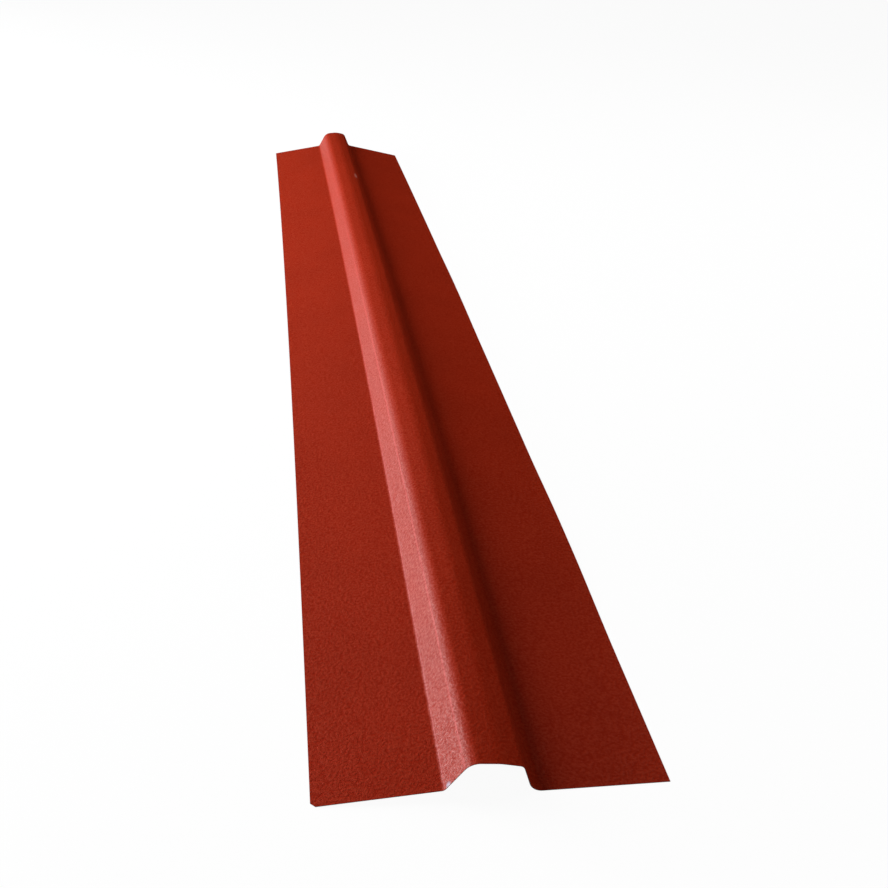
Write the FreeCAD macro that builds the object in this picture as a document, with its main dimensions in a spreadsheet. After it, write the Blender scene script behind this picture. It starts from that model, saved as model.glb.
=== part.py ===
import FreeCAD, Part
import math
import os

import Sketcher

# Roof ridge cap: one strip of coated steel sheet folded lengthwise into a flat-topped rib with a
# sloping wing on each side. It lies on a level floor on the outer edges of its wings.
# X runs across the cap, Y along the ridge and Z up. The origin is on the floor at mid length,
# under the middle of the rib.

# Driving dimensions, in millimetres and degrees. Widths and the rib height are taken on the
# weather side, between the sharp corners where the flats would meet.
DIMENSIONS = {
    "cap_length": 2000.0,
    "sheet_thickness": 0.5,
    "wing_width": 108.5,
    "wing_slope": 8.0,
    "rib_base_width": 68.0,
    "rib_top_width": 39.0,
    "rib_height": 26.0,
    "shoulder_bend_radius": 10.0,
    "foot_bend_radius": 8.0,
}

doc = FreeCAD.newDocument("ridge_cap")
sheet = doc.addObject("Spreadsheet::Sheet", "Dimensions")
for row, (alias, value) in enumerate(DIMENSIONS.items(), start=1):
    sheet.set(f"A{row}", alias)
    sheet.set(f"B{row}", str(value))
    sheet.setAlias(f"B{row}", alias)
doc.recompute()


def origin_plane(body, role):
    """One of the body's own origin planes."""
    for feature in body.Origin.OriginFeatures:
        if feature.Role == role:
            return feature
    raise ValueError(role)


def point(across, up):
    return FreeCAD.Vector(across, up, 0)


def bend(centre, radius, first, last):
    """The arc of a fold, counter-clockwise between two angles in degrees."""
    circle = Part.Circle(centre, FreeCAD.Vector(0, 0, 1), radius)
    return Part.ArcOfCircle(circle, math.radians(first), math.radians(last))


def draw_half_section(sketch):
    """Half of the folded section, from the middle of the rib to the cut edge of one wing."""
    thick = sheet.sheet_thickness
    slope = math.radians(sheet.wing_slope)
    wall_run = (sheet.rib_base_width - sheet.rib_top_width) / 2
    wall = math.atan2(sheet.rib_height, wall_run)

    # Unit vectors down the wall and down the wing, and the normals on their weather side.
    down_wall = point(math.cos(wall), -math.sin(wall))
    off_wall = point(math.sin(wall), math.cos(wall))
    down_wing = point(math.cos(slope), -math.sin(slope))
    off_wing = point(math.sin(slope), math.cos(slope))

    # Sharp corners on the weather side. The underside of the wing's edge is on the floor.
    foot_rise = sheet.wing_width * math.sin(slope) + thick * math.cos(slope)
    foot = point(sheet.rib_base_width / 2, foot_rise)
    shoulder = point(sheet.rib_top_width / 2, foot_rise + sheet.rib_height)
    edge = foot + down_wing * sheet.wing_width

    # A shoulder is folded round its underside, a foot round its weather side.
    shoulder_inside = sheet.shoulder_bend_radius
    shoulder_outside = shoulder_inside + thick
    foot_inside = sheet.foot_bend_radius
    foot_outside = foot_inside + thick
    shoulder_setback = shoulder_outside * math.tan(wall / 2)
    foot_setback = foot_inside * math.tan((wall - slope) / 2)
    shoulder_centre = shoulder - point(shoulder_setback, shoulder_outside)
    foot_centre = foot - down_wall * foot_setback + off_wall * foot_inside

    up = point(0, 1)
    wall_deg = math.degrees(wall)
    shoulder_turn = (90 - wall_deg, 90)
    foot_turn = (270 - wall_deg, 270 - sheet.wing_slope)
    outer = [
        point(0, shoulder.y),
        shoulder_centre + up * shoulder_outside,
        shoulder_centre + off_wall * shoulder_outside,
        foot_centre - off_wall * foot_inside,
        foot_centre - off_wing * foot_inside,
        edge,
    ]
    inner = [
        edge - off_wing * thick,
        foot_centre - off_wing * foot_outside,
        foot_centre - off_wall * foot_outside,
        shoulder_centre + off_wall * shoulder_inside,
        shoulder_centre + up * shoulder_inside,
        point(0, shoulder.y - thick),
    ]
    outline = {
        "top": Part.LineSegment(outer[0], outer[1]),
        "shoulder": bend(shoulder_centre, shoulder_outside, *shoulder_turn),
        "wall": Part.LineSegment(outer[2], outer[3]),
        "foot": bend(foot_centre, foot_inside, *foot_turn),
        "wing": Part.LineSegment(outer[4], outer[5]),
        "cut_edge": Part.LineSegment(edge, inner[0]),
        "wing_under": Part.LineSegment(inner[0], inner[1]),
        "foot_under": bend(foot_centre, foot_outside, *foot_turn),
        "wall_under": Part.LineSegment(inner[2], inner[3]),
        "shoulder_under": bend(shoulder_centre, shoulder_inside, *shoulder_turn),
        "top_under": Part.LineSegment(inner[4], inner[5]),
        "middle": Part.LineSegment(inner[5], outer[0]),
        "shoulder_corner": Part.Point(shoulder),
        "foot_corner": Part.Point(foot),
    }
    return {name: sketch.addGeometry(curve, name.endswith("_corner")) for name, curve in outline.items()}


def constrain_half_section(sketch, ids):
    """Ties the half section together and binds its sizes to the sheet."""
    start, end, centre = 1, 2, 3
    floor, mirror_axis = -1, -2

    joints = [
        ("Tangent", "top", end, "shoulder", end),
        ("Tangent", "shoulder", start, "wall", start),
        ("Tangent", "wall", end, "foot", start),
        ("Tangent", "foot", end, "wing", start),
        ("Coincident", "wing", end, "cut_edge", start),
        ("Coincident", "cut_edge", end, "wing_under", start),
        ("Tangent", "wing_under", end, "foot_under", end),
        ("Tangent", "foot_under", start, "wall_under", start),
        ("Tangent", "wall_under", end, "shoulder_under", start),
        ("Tangent", "shoulder_under", end, "top_under", start),
        ("Coincident", "top_under", end, "middle", start),
        ("Coincident", "middle", end, "top", start),
        ("Coincident", "shoulder", centre, "shoulder_under", centre),
        ("Coincident", "foot", centre, "foot_under", centre),
    ]
    for kind, first, first_point, second, second_point in joints:
        sketch.addConstraint(
            Sketcher.Constraint(kind, ids[first], first_point, ids[second], second_point)
        )

    sketch.addConstraint(Sketcher.Constraint("Horizontal", ids["top"]))
    sketch.addConstraint(Sketcher.Constraint("Horizontal", ids["top_under"]))
    sketch.addConstraint(Sketcher.Constraint("Parallel", ids["wall"], ids["wall_under"]))
    sketch.addConstraint(Sketcher.Constraint("Parallel", ids["wing"], ids["wing_under"]))
    sketch.addConstraint(Sketcher.Constraint("Perpendicular", ids["wing"], ids["cut_edge"]))

    on_lines = [
        ("top", start, mirror_axis),
        ("top_under", end, mirror_axis),
        ("cut_edge", end, floor),
        ("shoulder_corner", start, ids["top"]),
        ("shoulder_corner", start, ids["wall"]),
        ("foot_corner", start, ids["wall"]),
        ("foot_corner", start, ids["wing"]),
    ]
    for name, which, line in on_lines:
        sketch.addConstraint(Sketcher.Constraint("PointOnObject", ids[name], which, line))

    shoulder_corner = (ids["shoulder_corner"], start)
    foot_corner = (ids["foot_corner"], start)
    wing_end = (ids["wing"], end)
    origin = (floor, start)
    sizes = [
        ("DistanceX", (*origin, *shoulder_corner), "rib_top_half", "rib_top_width / 2"),
        ("DistanceX", (*origin, *foot_corner), "rib_base_half", "rib_base_width / 2"),
        ("DistanceY", (*foot_corner, *shoulder_corner), "rib_height", "rib_height"),
        ("Distance", (*foot_corner, *wing_end), "wing_width", "wing_width"),
        ("Distance", (ids["cut_edge"],), "sheet_thickness", "sheet_thickness"),
        ("Radius", (ids["shoulder_under"],), "shoulder_bend_radius", "shoulder_bend_radius"),
        ("Radius", (ids["foot"],), "foot_bend_radius", "foot_bend_radius"),
        ("Angle", (ids["wing"], floor), "wing_slope", "wing_slope"),
    ]
    for kind, places, name, size in sizes:
        drawn = sheet.evalExpression(size)
        if kind == "Angle":
            drawn = math.radians(drawn)
        number = sketch.addConstraint(Sketcher.Constraint(kind, *places, drawn))
        sketch.renameConstraint(number, name)
        sketch.setExpression(f"Constraints.{name}", f"{sheet.Name}.{size}")


cap = doc.addObject("PartDesign::Body", "RidgeCap")
cap.Label = "ridge_cap"

section = cap.newObject("Sketcher::SketchObject", "HalfSection")
section.AttachmentSupport = [(origin_plane(cap, "XZ_Plane"), "")]
section.MapMode = "FlatFace"
constrain_half_section(section, draw_half_section(section))

# The half section runs the whole length of the cap, half of it each way from mid length.
half_cap = cap.newObject("PartDesign::Pad", "HalfCap")
half_cap.Profile = section
half_cap.SideType = "Symmetric"
half_cap.setExpression("Length", f"{sheet.Name}.cap_length")

# The other wing and wall are the mirror image across the middle of the rib.
whole_cap = cap.newObject("PartDesign::Mirrored", "WholeCap")
whole_cap.Originals = [half_cap]
whole_cap.MirrorPlane = (origin_plane(cap, "YZ_Plane"), [""])
cap.Tip = whole_cap
cap.Placement = FreeCAD.Placement()

doc.recompute()

for item in doc.Objects:
    if "Invalid" in item.State or "Error" in item.State:
        raise RuntimeError(f"{item.Label} failed: {item.State}")
if cap.Shape.isNull() or not cap.Shape.isValid():
    raise RuntimeError("the cap has no valid shape")

os.makedirs("parts", exist_ok=True)
cap.Shape.exportStep(f"parts/{cap.Label}.step")
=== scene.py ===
import math

import bmesh
import bpy
from mathutils import Matrix, Vector


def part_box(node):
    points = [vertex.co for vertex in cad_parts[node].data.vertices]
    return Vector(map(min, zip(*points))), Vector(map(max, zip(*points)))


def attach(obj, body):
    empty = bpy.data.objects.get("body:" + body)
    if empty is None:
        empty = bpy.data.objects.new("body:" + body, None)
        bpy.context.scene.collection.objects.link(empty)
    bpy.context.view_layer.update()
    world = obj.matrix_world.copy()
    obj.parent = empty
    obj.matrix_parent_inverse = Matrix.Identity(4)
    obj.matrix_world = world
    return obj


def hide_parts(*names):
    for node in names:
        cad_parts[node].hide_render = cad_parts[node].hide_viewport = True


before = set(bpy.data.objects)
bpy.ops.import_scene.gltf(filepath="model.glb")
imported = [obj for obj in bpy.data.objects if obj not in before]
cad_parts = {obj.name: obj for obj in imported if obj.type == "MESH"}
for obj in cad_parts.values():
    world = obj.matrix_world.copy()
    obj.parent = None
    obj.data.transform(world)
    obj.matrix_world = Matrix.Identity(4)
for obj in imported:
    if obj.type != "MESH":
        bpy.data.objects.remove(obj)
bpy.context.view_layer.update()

# Ridge cap: one strip of steel sheet, coated red on its weather side and pale grey underneath.
# It is folded lengthwise four times into a flat-topped rib between two wings, and lies on the
# outer edges of its wings. The thin sheet is slack: its near end has settled flatter.
SHEET_THICKNESS = 0.0005
LEFT_WING = 0.1018
LEFT_WALL = 0.0322
LEFT_TOP = 0.0237
RIGHT_TOP = 0.0189
RIGHT_WALL = 0.0278
RIGHT_WING = 0.1117
PANEL_WIDTHS = (LEFT_WING, LEFT_WALL, LEFT_TOP, RIGHT_TOP, RIGHT_WALL, RIGHT_WING)

# The section is given at the near end, a quarter of the way along and at the far end. Each has the
# place of its left edge, the lean of its panels in degrees from left to right, and the bend radii
# between them: foot, shoulder, crown of the top, shoulder, foot. The right wing has no lean of its
# own, because it comes down to the floor.
NEAR_LEFT_EDGE = -0.1416
NEAR_LEANS = (4.2, 53.6, -5.4, -13.7, -71.5)
NEAR_RADII = (0.0043, 0.0140, 0.060, 0.0055, 0.0114)
QUARTER_LEFT_EDGE = -0.1410
QUARTER_LEANS = (6.0, 56.0, 9.0, -9.0, -70.0)
QUARTER_RADII = (0.0046, 0.0200, 0.040, 0.0100, 0.0100)
FAR_LEFT_EDGE = -0.1392
FAR_LEANS = (11.0, 62.1, 6.7, -10.1, -67.0)
FAR_RADII = (0.0051, 0.0180, 0.045, 0.0100, 0.0068)
BEND_FACETS = 8
NEAR_CUTS = 19
FAR_CUTS = 59
WING_CUTS = 7
ON_THE_LINE = 0.001


def draw_section(y, left_edge, leans, radii):
    """Draws the sheet across at y from its left edge, as it is folded: run, bend, run, bend."""
    turns = [math.radians(lean) for lean in leans]
    start = Vector((left_edge, y, SHEET_THICKNESS * math.cos(turns[0])))
    foot_height = start.z + sum(width * math.sin(turn) for width, turn in zip(PANEL_WIDTHS, turns))
    reach = math.hypot(RIGHT_WING, SHEET_THICKNESS)
    turns.append(math.atan2(SHEET_THICKNESS, RIGHT_WING) - math.asin(foot_height / reach))
    runs = [Vector((math.cos(turn), 0, math.sin(turn))) for turn in turns]
    bpy.ops.mesh.select_mode(type="VERT")
    bpy.ops.mesh.primitive_plane_add(size=SHEET_THICKNESS, location=start)
    bpy.ops.mesh.merge(type="CENTER")
    pen = start
    corner = start
    for fold, radius in enumerate(radii):
        corner = corner + runs[fold] * PANEL_WIDTHS[fold]
        bend = turns[fold + 1] - turns[fold]
        setback = radius * math.tan(abs(bend) / 2)
        bend_start = corner - runs[fold] * setback
        bpy.ops.mesh.extrude_region_move(TRANSFORM_OT_translate={"value": bend_start - pen})
        centre = bend_start + Vector((-runs[fold].z, 0, runs[fold].x)) * math.copysign(radius, bend)
        bpy.ops.mesh.spin(steps=BEND_FACETS, angle=bend, center=centre, axis=(0, 1, 0))
        pen = corner + runs[fold + 1] * setback
    right_edge = corner + runs[-1] * RIGHT_WING
    bpy.ops.mesh.extrude_region_move(TRANSFORM_OT_translate={"value": right_edge - pen})


def select_edges(mesh, wanted):
    """Selects the edges that wanted() accepts, and nothing else."""
    bpy.ops.mesh.select_mode(type="EDGE")
    bpy.ops.mesh.select_all(action="DESELECT")
    edit = bmesh.from_edit_mesh(mesh)
    for edge in edit.edges:
        if wanted(edge):
            edge.select_set(True)
    edit.select_flush_mode()
    bmesh.update_edit_mesh(mesh)


node_low, node_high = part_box("ridge_cap")
near_y = node_low[1]
far_y = node_high[1]
quarter_y = near_y + (far_y - near_y) / 4
mid_length_y = (near_y + far_y) / 2

bpy.ops.object.select_all(action="DESELECT")
bpy.ops.mesh.primitive_plane_add(size=SHEET_THICKNESS)
cap = bpy.context.object
cap.name = "ridge_cap_sheet"
strip = cap.data
bpy.ops.object.mode_set(mode="EDIT")
bpy.ops.mesh.delete(type="VERT")
draw_section(near_y, NEAR_LEFT_EDGE, NEAR_LEANS, NEAR_RADII)
draw_section(quarter_y, QUARTER_LEFT_EDGE, QUARTER_LEANS, QUARTER_RADII)

# The sheet is stretched from section to section, and the wings are divided across.
bpy.ops.mesh.select_mode(type="EDGE")
bpy.ops.mesh.select_all(action="SELECT")
bpy.ops.mesh.bridge_edge_loops(type="SINGLE", number_cuts=NEAR_CUTS, interpolation="LINEAR")
draw_section(far_y, FAR_LEFT_EDGE, FAR_LEANS, FAR_RADII)
select_edges(strip, lambda edge: all(vertex.co.y > quarter_y - ON_THE_LINE for vertex in edge.verts))
bpy.ops.mesh.bridge_edge_loops(type="SINGLE", number_cuts=FAR_CUTS, interpolation="LINEAR")
select_edges(strip, lambda edge: abs(edge.verts[0].co.x - edge.verts[1].co.x) > LEFT_WING / 2)
bpy.ops.mesh.subdivide(number_cuts=WING_CUTS)

# It is bowed sideways a little, most at mid length.
SIDEWAYS_BOW = 0.0040
select_edges(
    strip,
    lambda edge: all(abs(vertex.co.y - mid_length_y) < ON_THE_LINE for vertex in edge.verts),
)
bpy.ops.transform.translate(
    value=(SIDEWAYS_BOW, 0, 0),
    use_proportional_edit=True,
    proportional_edit_falloff="INVERSE_SQUARE",
    proportional_size=(far_y - near_y) / 2,
)

# The long right edge lifts off the floor in two places, as slack sheet does. Each has its place
# along the edge, its height and how far the lift spreads.
RIGHT_EDGE_LIFTS = ((-0.65, 0.0032, 0.17), (0.10, 0.0018, 0.20))
RIGHT_EDGE_FROM_X = 0.137
LIFTED_HALF_LENGTH = 0.026
for lift_y, lift, reach in RIGHT_EDGE_LIFTS:
    select_edges(
        strip,
        lambda edge: all(
            vertex.co.x > RIGHT_EDGE_FROM_X and abs(vertex.co.y - lift_y) < LIFTED_HALF_LENGTH
            for vertex in edge.verts
        ),
    )
    bpy.ops.transform.translate(
        value=(0, 0, lift),
        use_proportional_edit=True,
        proportional_edit_falloff="SMOOTH",
        proportional_size=reach,
    )

# The near left corner is clipped.
CLIPPED_CORNER = 0.004
bpy.ops.mesh.select_mode(type="VERT")
bpy.ops.mesh.select_all(action="DESELECT")
edit = bmesh.from_edit_mesh(strip)
min(edit.verts, key=lambda vertex: vertex.co.x + vertex.co.y).select_set(True)
edit.select_flush_mode()
bmesh.update_edit_mesh(strip)
bpy.ops.mesh.bevel(affect="VERTICES", offset=CLIPPED_CORNER, segments=1)

# All faces look up, so that the thickness goes on underneath.
bpy.ops.mesh.select_all(action="SELECT")
bpy.ops.mesh.normals_make_consistent(inside=False)
bpy.ops.object.mode_set(mode="OBJECT")
if sum(face.normal.z * face.area for face in strip.polygons) < 0:
    strip.flip_normals()

# Weather side: a matt baked coat with a fine crinkle. The crests of the crinkle are lighter and
# glossier than its hollows, and the tone is a little uneven from place to place.
RED_HOLLOW = (0.208, 0.0104, 0.0026, 1)
RED_CREST = (0.253, 0.0200, 0.0070, 1)
CRINKLE_SCALE = 400
CRINKLE_DETAIL = 2.0
CRINKLE_DEPTH = 0.0007
HOLLOW_LEVEL = 0.35
CREST_LEVEL = 0.65
NOISE_SPREAD = (0.3, 0.7)
CLOUD_SCALE = 9
CLOUD_DETAIL = 3.0
CLOUD_TONES = (0.96, 1.04)
HOLLOW_TO_CREST_ROUGHNESS = (0.55, 0.39)


def start_finish(name):
    """A new finish, with its nodes, its links and its surface."""
    finish = bpy.data.materials.new(name)
    finish.use_nodes = True
    nodes = finish.node_tree.nodes
    return finish, nodes, finish.node_tree.links, nodes["Principled BSDF"]


def add_noise(nodes, links, place, scale, detail, roughness=0.5):
    """Adds a noise pattern and gives its level."""
    noise = nodes.new("ShaderNodeTexNoise")
    noise.inputs["Scale"].default_value = scale
    noise.inputs["Detail"].default_value = detail
    noise.inputs["Roughness"].default_value = roughness
    links.new(place, noise.inputs["Vector"])
    return noise.outputs["Fac"]


def add_range(nodes, links, level, across, becomes=(0.0, 1.0)):
    """Carries a level across one range over to another, and gives the result."""
    spread = nodes.new("ShaderNodeMapRange")
    spread.inputs["From Min"].default_value = across[0]
    spread.inputs["From Max"].default_value = across[1]
    spread.inputs["To Min"].default_value = becomes[0]
    spread.inputs["To Max"].default_value = becomes[1]
    links.new(level, spread.inputs["Value"])
    return spread.outputs["Result"]


def add_shades(nodes, links, level, low, low_colour, high, high_colour):
    """Shades from one colour at the low level to another at the high one, and gives the colour."""
    shades = nodes.new("ShaderNodeValToRGB")
    shades.color_ramp.elements[0].position = low
    shades.color_ramp.elements[0].color = low_colour
    shades.color_ramp.elements[1].position = high
    shades.color_ramp.elements[1].color = high_colour
    links.new(level, shades.inputs["Fac"])
    return shades.outputs["Color"]


paint, nodes, links, coat = start_finish("red_crinkle_coat")
place = nodes.new("ShaderNodeTexCoord")
crinkle = add_noise(nodes, links, place.outputs["Object"], CRINKLE_SCALE, CRINKLE_DETAIL, roughness=0.6)
reds = add_shades(nodes, links, crinkle, HOLLOW_LEVEL, RED_HOLLOW, CREST_LEVEL, RED_CREST)
cloud = add_noise(nodes, links, place.outputs["Object"], CLOUD_SCALE, CLOUD_DETAIL)
toned = nodes.new("ShaderNodeMix")
toned.data_type = "RGBA"
toned.blend_type = "MULTIPLY"
toned.inputs["Factor"].default_value = 1.0
links.new(reds, toned.inputs["A"])
links.new(add_range(nodes, links, cloud, NOISE_SPREAD, CLOUD_TONES), toned.inputs["B"])

# Handling has left two marks: a nick to the zinc at the near left foot and a scuff far up the rib.
# Each has its place, its half sizes across, along and up, and its colour. Towards its rim it fades.
HANDLING_MARKS = {
    "nick": ((-0.0357, -0.9985, 0.0115), (0.0036, 0.0036, 0.0036), (0.30, 0.24, 0.29, 1)),
    "scuff": ((0.0178, 0.640, 0.0458), (0.0040, 0.0200, 0.0040), (0.36, 0.10, 0.08, 1)),
}
MARK_RIM_TO_CORE = (1.0, 0.44)
marked = toned.outputs["Result"]
for mark, (mark_place, mark_size, mark_colour) in HANDLING_MARKS.items():
    around = nodes.new("ShaderNodeMapping")
    around.vector_type = "TEXTURE"
    around.inputs["Location"].default_value = mark_place
    around.inputs["Scale"].default_value = mark_size
    links.new(place.outputs["Object"], around.inputs["Vector"])
    away = nodes.new("ShaderNodeVectorMath")
    away.operation = "LENGTH"
    links.new(around.outputs["Vector"], away.inputs[0])
    over = nodes.new("ShaderNodeMix")
    over.name = mark
    over.data_type = "RGBA"
    over.inputs["B"].default_value = mark_colour
    links.new(add_range(nodes, links, away.outputs["Value"], MARK_RIM_TO_CORE), over.inputs["Factor"])
    links.new(marked, over.inputs["A"])
    marked = over.outputs["Result"]
links.new(marked, coat.inputs["Base Color"])

# The sheet shows sheen only where it faces left, so the gloss is full on the left wall, fades
# across the level parts and is gone on what faces right. Crests have more of it than hollows.
FULL_SHEEN = 0.135
SHEEN_FACINGS = (-0.60, 0.12)
HOLLOW_TO_CREST_GLINT = (0.6, 1.4)
facing = nodes.new("ShaderNodeSeparateXYZ")
links.new(place.outputs["Normal"], facing.inputs["Vector"])
gloss = nodes.new("ShaderNodeMath")
gloss.operation = "MULTIPLY"
sheen = add_range(nodes, links, facing.outputs["X"], SHEEN_FACINGS, (FULL_SHEEN, 0.0))
glint = add_range(nodes, links, crinkle, (HOLLOW_LEVEL, CREST_LEVEL), HOLLOW_TO_CREST_GLINT)
links.new(sheen, gloss.inputs[0])
links.new(glint, gloss.inputs[1])
links.new(gloss.outputs["Value"], coat.inputs["Specular IOR Level"])
dull = add_range(nodes, links, crinkle, NOISE_SPREAD, HOLLOW_TO_CREST_ROUGHNESS)
links.new(dull, coat.inputs["Roughness"])
relief = nodes.new("ShaderNodeBump")
relief.inputs["Strength"].default_value = 1.0
relief.inputs["Distance"].default_value = CRINKLE_DEPTH
links.new(crinkle, relief.inputs["Height"])
links.new(relief.outputs["Normal"], coat.inputs["Normal"])

# Underside: the thin pale grey coat such sheet has on its back. It is rolled on before the sheet is
# folded, and the rollers leave faint lines along the cap.
GREY_DARK = (0.38, 0.39, 0.39, 1)
GREY_LIGHT = (0.50, 0.51, 0.50, 1)
ROLLER_LINE_SCALE = 220
ROLLER_LINE_DETAIL = 4.0
ROLLER_LINE_STRETCH = (1, 0.02, 1)
back_coat, nodes, links, coat = start_finish("grey_back_coat")
coat.inputs["Roughness"].default_value = 0.5
coat.inputs["Specular IOR Level"].default_value = 0.3
place = nodes.new("ShaderNodeTexCoord")
stretch = nodes.new("ShaderNodeMapping")
stretch.inputs["Scale"].default_value = ROLLER_LINE_STRETCH
links.new(place.outputs["Object"], stretch.inputs["Vector"])
lines = add_noise(nodes, links, stretch.outputs["Vector"], ROLLER_LINE_SCALE, ROLLER_LINE_DETAIL)
greys = add_shades(nodes, links, lines, NOISE_SPREAD[0], GREY_DARK, NOISE_SPREAD[1], GREY_LIGHT)
links.new(greys, coat.inputs["Base Color"])

# Cut edges: the coated sheet is sheared to size, so its edges are bare zinc-coated steel, with the
# red coat smeared over most of them.
STEEL = (0.42, 0.42, 0.45, 1)
SMEARED_RED = (0.040, 0.005, 0.003, 1)
SMEAR_SCALE = 90
SMEAR_DETAIL = 4.0
SMEARED_TO_BARE = (0.60, 0.70)
cut_edge, nodes, links, steel = start_finish("cut_edge")
steel.inputs["Roughness"].default_value = 0.45
place = nodes.new("ShaderNodeTexCoord")
smear = add_noise(nodes, links, place.outputs["Object"], SMEAR_SCALE, SMEAR_DETAIL)
bare = add_range(nodes, links, smear, SMEARED_TO_BARE)
patches = nodes.new("ShaderNodeMix")
patches.data_type = "RGBA"
patches.inputs["A"].default_value = SMEARED_RED
patches.inputs["B"].default_value = STEEL
links.new(bare, patches.inputs["Factor"])
links.new(patches.outputs["Result"], steel.inputs["Base Color"])
links.new(bare, steel.inputs["Metallic"])

# Fold lines: over the two folds of the left wall a paler red is painted in, a painted highlight of the
# light from the left. The painted highlight fades out along the far half of the cap.
UNHIGHLIGHTED_RED = (0.235, 0.0120, 0.0030, 1)
PAINTED_HIGHLIGHT_RED = (0.33, 0.050, 0.042, 1)
HIGHLIGHT_LEVEL = 0.6
HIGHLIGHT_FADES_Y = (0.45, -0.1)
fold_highlight, nodes, links, coat = start_finish("red_coat_painted_highlight")
coat.inputs["Specular IOR Level"].default_value = 0.08
coat.inputs["Roughness"].default_value = 0.42
place = nodes.new("ShaderNodeTexCoord")
crinkle = add_noise(nodes, links, place.outputs["Object"], CRINKLE_SCALE, CRINKLE_DETAIL)
highlight = add_shades(nodes, links, crinkle, HOLLOW_LEVEL, UNHIGHLIGHTED_RED, HIGHLIGHT_LEVEL, PAINTED_HIGHLIGHT_RED)
along = nodes.new("ShaderNodeSeparateXYZ")
links.new(place.outputs["Object"], along.inputs["Vector"])
faded = nodes.new("ShaderNodeMix")
faded.data_type = "RGBA"
faded.inputs["A"].default_value = UNHIGHLIGHTED_RED
links.new(add_range(nodes, links, along.outputs["Y"], HIGHLIGHT_FADES_Y), faded.inputs["Factor"])
links.new(highlight, faded.inputs["B"])
links.new(faded.outputs["Result"], coat.inputs["Base Color"])

# The finishes go on first and the thickness after them, so that it can give the underside and the
# cut edges their own.
SMOOTHED_UP_TO = 30
finishes = [paint, back_coat, cut_edge, fold_highlight]
for finish in finishes:
    strip.materials.append(finish)
thickness = cap.modifiers.new("sheet", "SOLIDIFY")
thickness.thickness = SHEET_THICKNESS
thickness.offset = -1.0
thickness.material_offset = finishes.index(back_coat)
thickness.material_offset_rim = finishes.index(cut_edge)
bpy.ops.object.modifier_apply(modifier=thickness.name)
bpy.ops.object.shade_smooth_by_angle(angle=math.radians(SMOOTHED_UP_TO))

# The painted highlight goes on the faces that lean between these degrees at mid length, which are the
# left-facing folds only. The left wall leans more towards the far end, and the lines go with it.
FOOT_LINE_LEANS = (39, 52)
SHOULDER_LINE_LEANS = (52, 57)
LEAN_PER_METRE = 3.75
FOOT_TO_SHOULDER_X = -0.03
for face in strip.polygons:
    lean = math.degrees(math.atan2(-face.normal.x, face.normal.z)) - LEAN_PER_METRE * face.center.y
    line_leans = FOOT_LINE_LEANS if face.center.x < FOOT_TO_SHOULDER_X else SHOULDER_LINE_LEANS
    # Only these left-facing fold faces get the painted highlight finish.
    if face.material_index == finishes.index(paint) and line_leans[0] < lean < line_leans[1]:
        face.material_index = finishes.index(fold_highlight)

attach(cap, "root")
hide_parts("ridge_cap")

# Floor: a wide white board with a matt face, on which the cap lies loose. It looks almost pure white
# to the camera and in reflections, and keeps a faint shadow of the cap.
FLOOR_SIZE = 60.0
FLOOR_PALE = (0.85, 0.85, 0.85, 1)
PURE_WHITE = (1, 1, 1, 1)
WHITE_SHARE = 0.95
bpy.ops.object.select_all(action="DESELECT")
bpy.ops.mesh.primitive_plane_add(size=FLOOR_SIZE)
floor = bpy.context.object
floor.name = "floor"
white, nodes, links, board = start_finish("floor_white")
board.inputs["Roughness"].default_value = 1.0
board.inputs["Specular IOR Level"].default_value = 0.0
board.inputs["Base Color"].default_value = FLOOR_PALE
ray = nodes.new("ShaderNodeLightPath")
seen = nodes.new("ShaderNodeMath")
seen.operation = "MAXIMUM"
links.new(ray.outputs["Is Camera Ray"], seen.inputs[0])
links.new(ray.outputs["Is Glossy Ray"], seen.inputs[1])
seen_through = nodes.new("ShaderNodeMath")
seen_through.operation = "MAXIMUM"
links.new(seen.outputs["Value"], seen_through.inputs[0])
links.new(ray.outputs["Is Transmission Ray"], seen_through.inputs[1])
share = add_range(nodes, links, seen_through.outputs["Value"], (0.0, 1.0), (0.0, WHITE_SHARE))
glow = nodes.new("ShaderNodeEmission")
glow.inputs["Color"].default_value = PURE_WHITE
mixed = nodes.new("ShaderNodeMixShader")
links.new(share, mixed.inputs["Fac"])
links.new(board.outputs["BSDF"], mixed.inputs[1])
links.new(glow.outputs["Emission"], mixed.inputs[2])
links.new(mixed.outputs["Shader"], nodes["Material Output"].inputs["Surface"])
floor.data.materials.append(white)

# Room: a studio with dim, warm walls behind the camera, which get darker round the sides and are
# almost black beyond the cap. To the camera itself the room is plain white.
BEHIND_CAMERA = 0.25
WARM_DIM = (0.12, 0.108, 0.09, 1)
BEYOND_CAP = 0.62
NEARLY_BLACK = (0.005, 0.004, 0.0035, 1)
world = bpy.data.worlds.new("studio")
world.use_nodes = True
nodes = world.node_tree.nodes
links = world.node_tree.links
toward = nodes.new("ShaderNodeTexCoord")
split = nodes.new("ShaderNodeSeparateXYZ")
links.new(toward.outputs["Generated"], split.inputs["Vector"])
ahead = add_range(nodes, links, split.outputs["Y"], (-1.0, 1.0))
walls = add_shades(nodes, links, ahead, BEHIND_CAMERA, WARM_DIM, BEYOND_CAP, NEARLY_BLACK)
walls.node.color_ramp.interpolation = "EASE"
ray = nodes.new("ShaderNodeLightPath")
backdrop = nodes.new("ShaderNodeMix")
backdrop.data_type = "RGBA"
backdrop.inputs["B"].default_value = PURE_WHITE
links.new(ray.outputs["Is Camera Ray"], backdrop.inputs["Factor"])
links.new(walls, backdrop.inputs["A"])
links.new(backdrop.outputs["Result"], nodes["Background"].inputs["Color"])
nodes["Background"].inputs["Strength"].default_value = 1.0
bpy.context.scene.world = world

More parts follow.
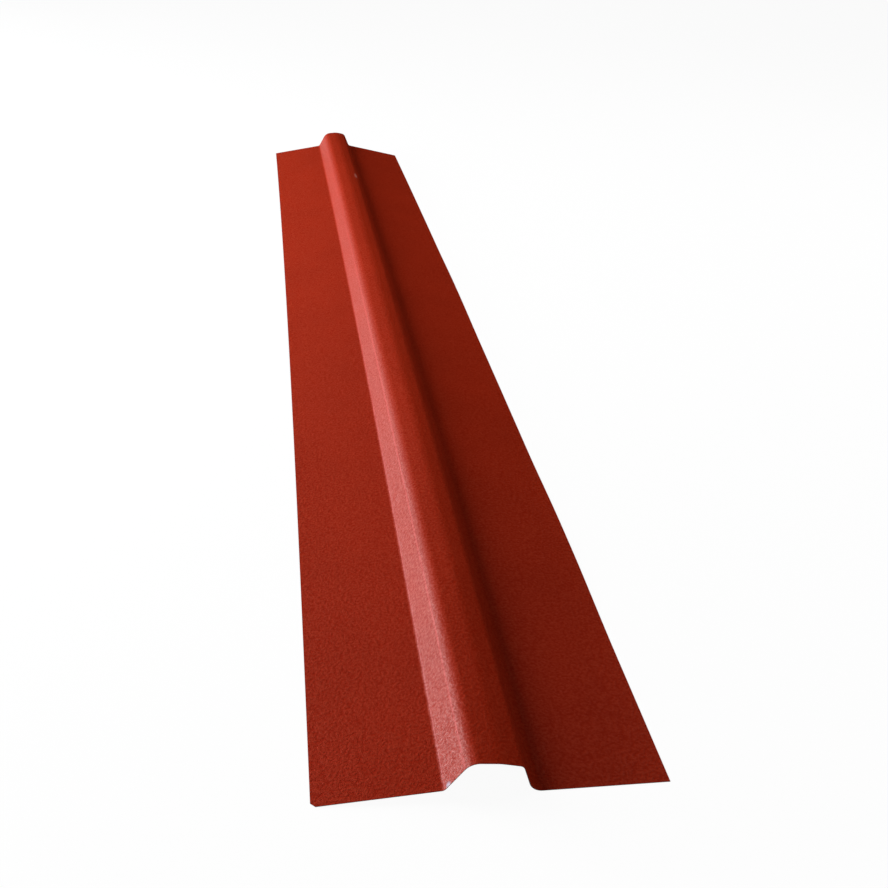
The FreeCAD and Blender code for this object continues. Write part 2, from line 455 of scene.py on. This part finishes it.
# Lamps: six flat panels, all turned to the middle of the cap. Four stand on the left and give most of
# the light, the two strongest of them slightly blue. A weak one hangs above, and another stands on
# the right.
DAYLIGHT = (0.92, 0.96, 1.0)
PLAIN_WHITE = (1.0, 1.0, 1.0)

# Each lamp has its place, its width and height, its watts and its colour.
LAMPS = {
    "far_left": ((-2.8, 2.3, 0.9), 1.5, 1.2, 91.0, DAYLIGHT),
    "left_low": ((-2.4, 0.2, 0.45), 1.5, 0.7, 95.0, DAYLIGHT),
    "left_high": ((-2.4, 0.6, 2.0), 1.5, 1.5, 68.0, PLAIN_WHITE),
    "left_close": ((-1.5, 0.9, 1.6), 1.0, 1.0, 13.5, PLAIN_WHITE),
    "top": ((0.0, 0.4, 3.0), 2.0, 2.0, 5.0, PLAIN_WHITE),
    "right_high": ((2.0, 0.3, 1.6), 1.5, 1.5, 25.0, PLAIN_WHITE),
}
for name, (lamp_place, width, height, watts, colour) in LAMPS.items():
    bpy.ops.object.light_add(type="AREA", location=lamp_place)
    lamp = bpy.context.object
    lamp.name = name
    lamp.data.shape = "RECTANGLE"
    lamp.data.size = width
    lamp.data.size_y = height
    lamp.data.energy = watts
    lamp.data.color = colour
    lamp.rotation_euler = (-lamp.location).to_track_quat("-Z", "Y").to_euler()

# Camera: a full-frame camera on a tripod, a little to the left of the cap and 0.6 m off its near end.
# It looks down along the cap and stands slightly askew.
CAMERA_PLACE = (-0.1639, -1.6075, 0.6383)
CAMERA_YAW = -10.035
CAMERA_PITCH = -28.128
CAMERA_ROLL = 3.466
CAMERA_LENS = 44.868
FULL_FRAME_WIDTH = 36.0
camera_data = bpy.data.cameras.new("camera")
camera_data.lens = CAMERA_LENS
camera_data.sensor_width = FULL_FRAME_WIDTH
camera = bpy.data.objects.new("camera", camera_data)
bpy.context.scene.collection.objects.link(camera)
camera.matrix_world = (
    Matrix.Translation(CAMERA_PLACE)
    @ Matrix.Rotation(math.radians(CAMERA_YAW), 4, "Z")
    @ Matrix.Rotation(math.radians(90 + CAMERA_PITCH), 4, "X")
    @ Matrix.Rotation(math.radians(CAMERA_ROLL), 4, "Z")
)
bpy.context.scene.camera = camera
bpy.context.scene.view_settings.view_transform = "Standard"
